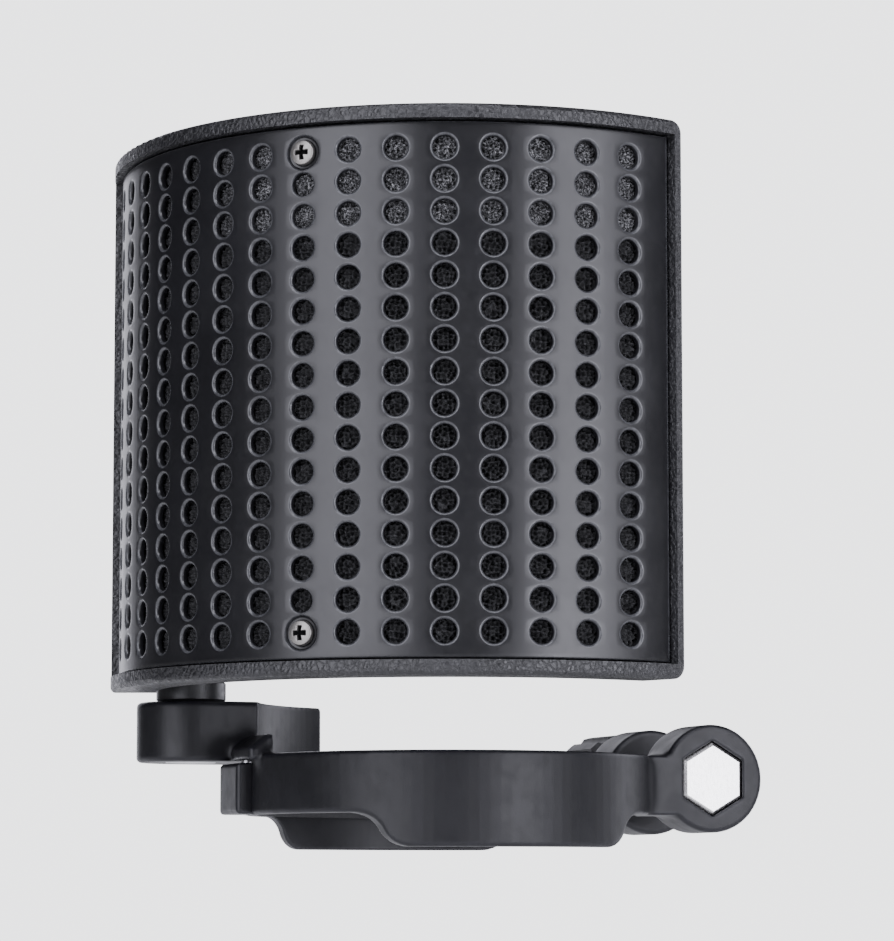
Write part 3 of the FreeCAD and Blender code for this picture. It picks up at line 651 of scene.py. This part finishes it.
def moulded(name, colour, roughness, worn=True):
    """Satin moulded plastic with fine grain, faint flow marks and lighter, smoother edges."""
    f = Finish(name, colour, roughness)
    flow = f.noise(0.014, 4.0, 0.6)
    f.tint(f.span(flow, 0.35, 0.7), tuple(1.35 * c for c in colour))
    f.vary(f.span(flow, 0.3, 0.7), 0.07)
    f.vary(f.span(f.noise(0.0022, 5.0), 0.4, 0.7), 0.06)
    f.raise_by(f.noise(0.00035, 4.0, 0.6), 0.000012, 0.8)
    f.raise_by(f.noise(0.0045, 2.0), 0.00004, 0.35)
    if worn:
        patchy = f.span(f.noise(0.0016, 5.0, 0.7), 0.35, 0.65, 0.3, 1.0)
        edge = f.math("MULTIPLY", f.attribute("wear"), patchy)
        f.tint(edge, tuple(2.6 * c for c in colour)).vary(edge, -0.08)
    scuff = f.span(f.noise(0.0011, 6.0, 0.7), 0.60, 0.72)
    f.tint(f.math("MULTIPLY", scuff, 0.35), tuple(1.9 * c for c in colour))
    return f.set(IOR=1.39).done()


def grille_coat():
    """Semi-gloss coat with slight orange peel, and thinner, brighter coat on the hole lips."""
    f = Finish("grille_coat", (0.0052, 0.0052, 0.0062), 0.29)
    f.tint(f.span(f.noise(0.02, 3.0), 0.35, 0.7), (0.0070, 0.0070, 0.0084))
    f.vary(f.span(f.noise(0.009, 4.0), 0.35, 0.7), 0.05)
    f.vary(f.span(f.noise(0.0012, 5.0, 0.7), 0.45, 0.7), 0.04)
    f.raise_by(f.noise(0.0011, 2.0, 0.5), 0.00001, 0.6)
    f.raise_by(f.noise(0.00025, 3.0, 0.6), 0.000004, 0.5)
    patchy = f.span(f.noise(0.0008, 4.0), 0.3, 0.65, 0.35, 1.0)
    lip = f.math("MULTIPLY", f.attribute("wear"), patchy)
    f.tint(lip, (0.045, 0.046, 0.050)).vary(lip, -0.05)
    dust = f.span(f.noise(0.0006, 6.0, 0.75), 0.68, 0.76)
    f.tint(f.math("MULTIPLY", dust, 0.3), (0.06, 0.06, 0.062)).vary(dust, 0.12)
    return f.set(IOR=1.5).done()


def leather_rim():
    """Rim moulded with a fine leather grain: small pebbles with creases between them, the pebble
    tops painted lighter as painted highlights.
    """
    f = Finish("leather_rim", (0.0090, 0.0090, 0.0102), 0.34)
    pebble = f.cells(0.00072)
    crease = f.cells(0.00105, "DISTANCE_TO_EDGE")
    f.raise_by(f.span(pebble, 0.15, 0.75, 1.0, 0.0), 0.00010, 0.75)
    f.raise_by(f.span(crease, 0.0, 0.16), 0.00008, 0.6)
    f.raise_by(f.noise(0.00022, 4.0, 0.65), 0.00003, 0.7)
    # Painted highlight: the pebble tops painted lighter, where the grain's peaks would catch the
    # light.
    f.tint(f.span(pebble, 0.1, 0.4, 0.5, 0.0), (0.040, 0.040, 0.043))
    f.tint(f.span(f.noise(0.012, 3.0), 0.45, 0.7, 0.0, 0.4), (0.022, 0.022, 0.025))
    f.vary(f.span(crease, 0.0, 0.2, 1.0, 0.0), 0.2)
    f.vary(f.span(f.noise(0.003, 4.0), 0.4, 0.7), 0.08)
    return f.set(IOR=1.5).done()


def open_foam():
    """Nearly black foam: struts painted lighter than the cell floors as painted shade, small
    painted glints, and specks painted light in a zone painted as if lit from behind.
    """
    f = Finish("open_foam", (0.0030, 0.0031, 0.0036), 0.66)
    strut = f.attribute("strut")
    patchy = f.span(f.noise(0.0006, 4.0, 0.7), 0.42, 0.62, 0.05, 1.0)
    # Struts painted lighter than the cell floors: painted shade in the foam's cells.
    f.tint(f.math("MULTIPLY", strut, patchy), (0.007, 0.007, 0.009))
    # Painted glints: small spots painted lighter in the foam's colour.
    glint = f.span(f.cells(0.00034), 0.0, 0.2, 0.7, 0.0)
    f.tint(glint, (0.030, 0.030, 0.034))
    speck = f.span(f.noise(0.00026, 3.0, 0.6), 0.47, 0.60)
    # Painted backlight: specks and glints are painted much lighter in the zone painted as if lit
    # from behind.
    lit = f.math("MULTIPLY", f.attribute("painted_backlight"), f.math("MAXIMUM", speck, glint))
    f.tint(lit, (0.27, 0.27, 0.28))
    f.vary(strut, -0.3)
    f.raise_by(f.cells(0.0003), 0.00012, 0.8)
    f.raise_by(f.noise(0.00018, 5.0, 0.7), 0.00005, 0.8)
    return f.set(IOR=1.35, Sheen_Weight=0.03).done()


def woven_net():
    """Black woven net: crossing threads with dark gaps."""
    f = Finish("woven_net", (0.012, 0.012, 0.013), 0.5)
    knot = f.cells(0.00064, "F1", 0.12)
    f.tint(f.span(knot, 0.2, 0.5, 1.0, 0.0), (0.07, 0.07, 0.075))
    f.raise_by(f.span(knot, 0.1, 0.6, 1.0, 0.0), 0.00012, 0.9)
    f.raise_by(f.noise(0.00012, 4.0), 0.00003, 0.6)
    f.vary(f.span(f.noise(0.004, 4.0), 0.4, 0.7), 0.1)
    return f.set(Sheen_Weight=0.2).done()


def plated(name, colour, roughness, brush, direction, painted_shade=None):
    """Metal with a faint brushed lay, stains, small pits, and painted shade, darker and rougher,
    where an attribute says so.
    """
    f = Finish(name, colour, roughness, 1.0)
    lay = f.noise(0.0009, 5.0, 0.7, direction)
    f.vary(f.span(lay, 0.3, 0.7), brush)
    f.raise_by(lay, 0.000006, 0.5)
    stain = f.span(f.noise(0.0025, 5.0, 0.65), 0.5, 0.75, 0.0, 0.35)
    f.tint(stain, tuple(0.78 * c for c in colour))
    pits = f.span(f.noise(0.0004, 4.0), 0.66, 0.74)
    f.vary(pits, 0.15).raise_by(pits, 0.00001, 0.4)
    if painted_shade:
        # Painted shade: darker colour where the attribute is high, standing in for shade in a
        # recess.
        f.tint(f.attribute(painted_shade), (0.012, 0.012, 0.012)).vary(f.attribute(painted_shade), 0.4)
    return f.done()


def ribbed_rubber():
    """Matte rubber with fine upright ribs."""
    f = Finish("ribbed_rubber", (0.018, 0.018, 0.019), 0.72)
    f.raise_by(f.noise(0.0004, 3.0), 0.00004, 0.8)
    f.raise_by(f.cells(0.0012, "F1", 0.3, (1, 1, 0.02)), 0.0002, 0.6)
    f.tint(f.span(f.noise(0.004, 5.0), 0.5, 0.75, 0.0, 0.6), (0.035, 0.035, 0.036))
    f.vary(f.span(f.noise(0.002, 4.0), 0.4, 0.7), 0.1)
    return f.set(IOR=1.48).done()


def turned_acetal():
    """Black acetal with fine turning marks and pale dust."""
    f = Finish("turned_acetal", (0.0125, 0.0128, 0.0140), 0.34)
    f.tint(f.span(f.noise(0.003, 4.0), 0.4, 0.7, 0.0, 0.7), (0.019, 0.0193, 0.021))
    f.raise_by(f.noise(0.0003, 3.0), 0.00001, 0.6)
    f.raise_by(f.noise(0.0004, 4.0, 0.6, (0.05, 0.05, 4)), 0.000012, 0.6)
    f.vary(f.span(f.noise(0.001, 4.0), 0.4, 0.7), 0.12)
    return f.set(IOR=1.48).done()


# ---------------------------------------------------------------- pieces

clamp_finish = moulded("clamp_satin", (0.0042, 0.0042, 0.0056), 0.40)
coat = grille_coat()
rim_finish = leather_rim()

front = perforated_sheet("grille_front", FRONT_MM, FRONT_BACK_MM, "sunk")
dress(front, "shield", coat, "front_grille")
rear = perforated_sheet("grille_rear", REAR_MM, REAR_BACK_MM, "boss")
dress(rear, "shield", coat, "rear_grille")

foam = foam_sheet()
dress(foam, "shield", open_foam(), "foam_layer")
net = woven_sheet()
dress(net, "shield", woven_net(), "mesh_layer")

nickel = plated("bright_nickel", (0.80, 0.79, 0.77), 0.16, 0.10, (6, 6, 0.6))
dull_nickel = plated("dull_nickel", (0.26, 0.25, 0.235), 0.36, 0.12, (6, 6, 0.6), painted_shade="recess")
for end, level in (("upper", SCREW_RISE_MM), ("lower", -SCREW_RISE_MM)):
    screw = grille_screw("screw_" + end, MIDDLE_MM + level)
    dress(screw, "shield", dull_nickel, "grille_screw_" + end)

VOXEL_MM = 0.28
EAR_BEARING = math.radians(-135)
EAR_RISE_MM = 1.2
NECK_HEIGHTS_MM = (-4.7, -2.5, 0.0, 2.5, 4.7)
NECK_REACHES_MM = (29.4, 31.4)
NECK_BAND_MM, NECK_DISC_MM = 16.2, 11.5
FOOT_BEARINGS_DEG = (37.5, 38.8, 40.0)
FOOT_CORNERS_MM = ((31.0, 4.9), (32.4, 4.7), (33.2, 4.3), (32.4, 3.8))
ARM_FACE_START_MM = (-33.87, -18.56)
ARM_FACE_WAY = (0.731, 0.682)
ARM_FACE_FROM_MM, ARM_FACE_TO_MM, ARM_FACE_STEP_MM = 2.0, 9.5, 0.75
ARM_FACE_HEIGHTS_MM = (5.6, 6.8, 7.8)


def by_bolt(along, reach, height):
    """Point beside the clamp bolt, in millimetres: along the bolt, out from the bore, and up."""
    out = Vector((-math.sin(EAR_BEARING), -math.cos(EAR_BEARING), 0))
    side = Vector((math.cos(EAR_BEARING), -math.sin(EAR_BEARING), 0))
    return tuple(out * reach + side * along + Vector((0, 0, height)))


def neck(sign):
    """Inside corners between the band, the web and the ear's disc, each with its two radii."""
    spots = []
    for height in NECK_HEIGHTS_MM:
        for reach in NECK_REACHES_MM:
            level = EAR_RISE_MM + 2.0 * height
            spots.append((by_bolt(sign * NECK_BAND_MM, reach, height), 2.2, 4.2))
            spots.append((by_bolt(sign * NECK_DISC_MM, reach, level), 1.5, 3.6))
    return spots


def arm_foot():
    """Inside corners of the arm's foot, at the band's end and along the arm's face."""
    spots = []
    for degrees in FOOT_BEARINGS_DEG:
        turn = math.radians(degrees)
        for reach, height in FOOT_CORNERS_MM:
            spots.append(((-reach * math.sin(turn), -reach * math.cos(turn), height), 1.6, 3.2))
    for along in np.arange(ARM_FACE_FROM_MM, ARM_FACE_TO_MM, ARM_FACE_STEP_MM):
        x, y = (start + along * way for start, way in zip(ARM_FACE_START_MM, ARM_FACE_WAY))
        for height in ARM_FACE_HEIGHTS_MM:
            spots.append(((x, y, height), 1.8, 3.4))
    return spots


front_half = softened("clamp_front", "clamp_front_half", VOXEL_MM, neck(-1) + arm_foot())
dress(front_half, "clamp_body", clamp_finish, "clamp_front_half")
rear_half = softened("clamp_rear", "clamp_rear_half", VOXEL_MM, neck(1))
dress(rear_half, "rear_jaw", clamp_finish, "clamp_rear_half")

knob_finish = moulded("knob_satin", (0.0080, 0.0080, 0.0092), 0.44, worn=False)
rubber = ribbed_rubber()
steel = plated("drawn_steel", (0.52, 0.52, 0.53), 0.28, 0.16, (1, 1, 0.1))
brass = plated("turned_brass", (0.72, 0.53, 0.25), 0.24, 0.16, (1, 1, 6))
bolt_finish = plated("bolt_nickel", (0.86, 0.85, 0.83), 0.24, 0.10, (3, 3, 1))
acetal = turned_acetal()
finishes = {
    "shield_frame": rim_finish, "front_liner": rubber, "rear_liner": rubber, "hinge_pin": steel,
    "clamp_bolt": bolt_finish, "clamp_washer": nickel, "clamp_knob": knob_finish,
    "clamp_knob_insert": brass, "pivot_bolt": steel, "pivot_spacer": acetal, "lug_bush": acetal,
    "pivot_washer": nickel, "pivot_knob": knob_finish, "pivot_knob_insert": brass,
}
for node, finish in finishes.items():
    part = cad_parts[node]
    part.data.materials.clear()
    part.data.materials.append(finish)


# ---------------------------------------------------------------- floor, light and camera

FLOOR_Z = -0.128
FLOOR_RINGS = (0.15, 0.6, 1.5, 3.0, 5.0)
LAMP_COLOUR = (0.905, 0.905, 1.0)
# Name, azimuth in degrees, height, distance, width, length, watts and the height it is aimed at.
# Azimuth 0 is at -Y and 90 at +X.
LAMPS = (
    ("key_left", -10.5, 0.05, 0.9, 0.62, 1.3, 13.0, 0.05),
    ("key_right", 69, 0.05, 0.9, 0.50, 1.3, 12.5, 0.05),
    ("back_left", -135, 0.1, 1.1, 0.7, 1.3, 7.0, 0.05),
    ("back_right", 150, 0.1, 1.1, 0.9, 1.3, 11.0, 0.05),
    ("overhead", 10, 1.1, 0.05, 1.0, 1.0, 1.5, 0.05),
    ("top_front", 24, 0.80, 0.62, 0.9, 0.30, 7.0, 0.09),
    ("low_right", 60, -0.035, 0.7, 0.24, 0.10, 0.8, 0.005),
)
SKY_COLOUR = (0.97, 0.975, 1.0, 1)
SKY_REFLECTED, SKY_DIFFUSE, SKY_SEEN = 0.01, 0.6, 3.0


def pale_floor():
    """Pale floor at the level of the microphone's base, small enough to end below the view."""
    around = 96
    angle = np.linspace(0, 2 * np.pi, around, endpoint=False)
    reach = np.array(FLOOR_RINGS)[:, None]
    level = np.full((len(reach), around), FLOOR_Z)
    rings = np.stack([reach * np.cos(angle), reach * np.sin(angle), level], -1).reshape(-1, 3)
    faces = [tuple(range(around))] + bands(len(reach), around)
    floor = mesh_object("floor", rings, faces, flat=True)
    weld(floor)
    f = Finish("pale_floor", (0.80, 0.80, 0.805), 0.6)
    f.tint(f.span(f.noise(0.4, 3.0), 0.4, 0.7, 0.0, 0.4), (0.76, 0.76, 0.765))
    floor.data.materials.append(f.done())


def softbox(name, azimuth, height, distance, width, length, watts, aim):
    """Rectangular area light that the camera doesn't see."""
    light = bpy.data.lights.new(name, "AREA")
    light.shape = "RECTANGLE"
    light.size, light.size_y = width, length
    light.energy = watts
    light.color = LAMP_COLOUR
    lamp = bpy.data.objects.new(name, light)
    bpy.context.scene.collection.objects.link(lamp)
    turn = math.radians(azimuth)
    lamp.location = (distance * math.sin(turn), -distance * math.cos(turn), height)
    lamp.rotation_mode = "QUATERNION"
    lamp.rotation_quaternion = (Vector((0, 0, aim)) - lamp.location).to_track_quat("-Z", "Y")
    lamp.visible_camera = False


def sky():
    """White behind the object, some soft light on it, and next to nothing in its reflections."""
    world = bpy.data.worlds.new("studio")
    bpy.context.scene.world = world
    world.use_nodes = True
    tree = world.node_tree
    tree.nodes.clear()

    def background(strength):
        node = tree.nodes.new("ShaderNodeBackground")
        node.inputs["Color"].default_value = SKY_COLOUR
        node.inputs["Strength"].default_value = strength
        return node.outputs[0]

    path = tree.nodes.new("ShaderNodeLightPath")
    shade = background(SKY_REFLECTED)
    for ray, strength in (("Is Diffuse Ray", SKY_DIFFUSE), ("Is Camera Ray", SKY_SEEN)):
        mix = tree.nodes.new("ShaderNodeMixShader")
        tree.links.new(path.outputs[ray], mix.inputs[0])
        tree.links.new(shade, mix.inputs[1])
        tree.links.new(background(strength), mix.inputs[2])
        shade = mix.outputs[0]
    output = tree.nodes.new("ShaderNodeOutputWorld")
    tree.links.new(shade, output.inputs["Surface"])


EYE_AZIMUTH = 24.3
EYE_DISTANCE = 0.580
EYE_HEIGHT = -0.0155
LENS_MM, SENSOR_MM = 138.7932, 36
LOOK_UP_DEG = 5.767115
FRAME_SHIFT = 0.05


def camera():
    """Eye below the clamp, looking a little up at the middle of the object."""
    data = bpy.data.cameras.new("camera")
    data.sensor_width = SENSOR_MM
    data.lens = LENS_MM
    data.shift_y = FRAME_SHIFT
    data.clip_start, data.clip_end = 0.01, 20
    eye = bpy.data.objects.new("camera", data)
    bpy.context.scene.collection.objects.link(eye)
    turn, up = math.radians(EYE_AZIMUTH), math.radians(LOOK_UP_DEG)
    eye.location = (EYE_DISTANCE * math.sin(turn), -EYE_DISTANCE * math.cos(turn), EYE_HEIGHT)
    heading = Vector((-math.sin(turn) * math.cos(up), math.cos(turn) * math.cos(up), math.sin(up)))
    eye.rotation_mode = "QUATERNION"
    eye.rotation_quaternion = heading.to_track_quat("-Z", "Y")
    bpy.context.scene.camera = eye


pale_floor()
for lamp in LAMPS:
    softbox(*lamp)
sky()
camera()
